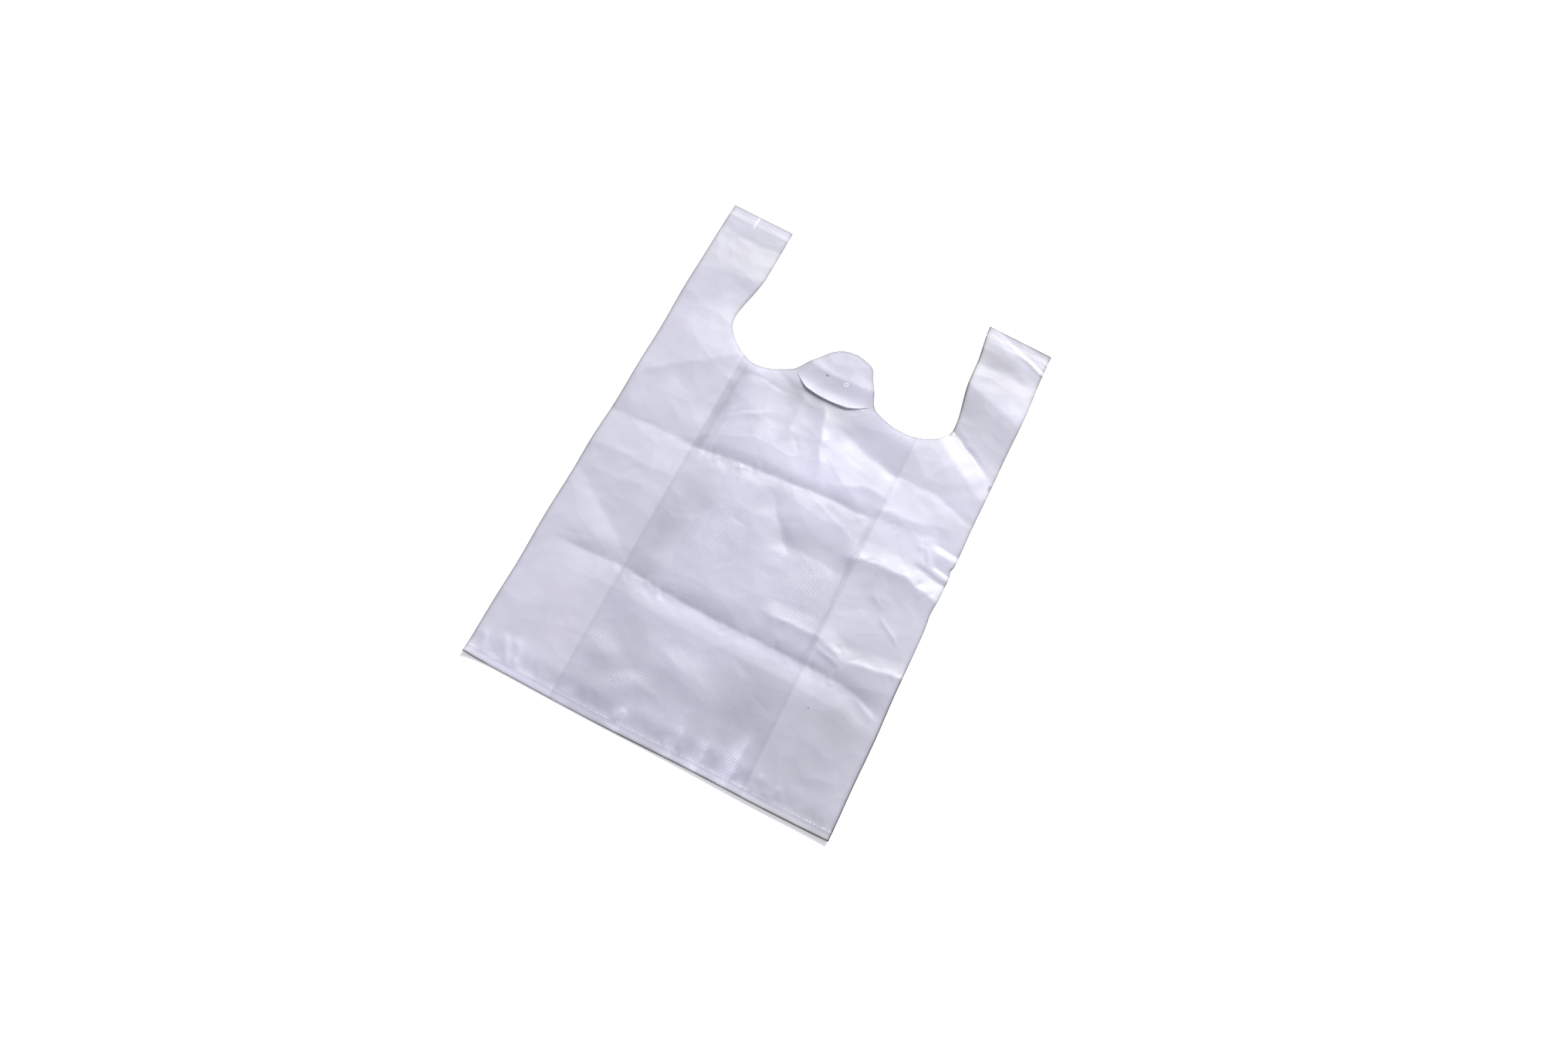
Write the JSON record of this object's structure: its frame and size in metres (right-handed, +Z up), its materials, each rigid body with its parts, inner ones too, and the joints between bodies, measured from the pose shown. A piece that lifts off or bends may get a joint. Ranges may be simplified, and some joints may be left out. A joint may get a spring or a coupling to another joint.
{
  "type": "plastic carrier bag",
  "caption": "Vest carrier bag of milky film lying flat, with folded side gussets, welded bottom and handle tops, and a die-cut mouth with a slit tab.",
  "frame": {"origin": "on the surface the bag lies on, under the middle of its length and width", "axes": "+X across the bag, +Y from the bottom weld towards the handle tops, +Z up out of the front panel"},
  "size_m": [0.28, 0.48, 0.0111],
  "materials": {
    "film": "milky, slightly lavender, translucent blown film with a soft gloss"
  },
  "bodies": {
    "root": {"carrier_bag": "film"}
  },
  "joints": []
}
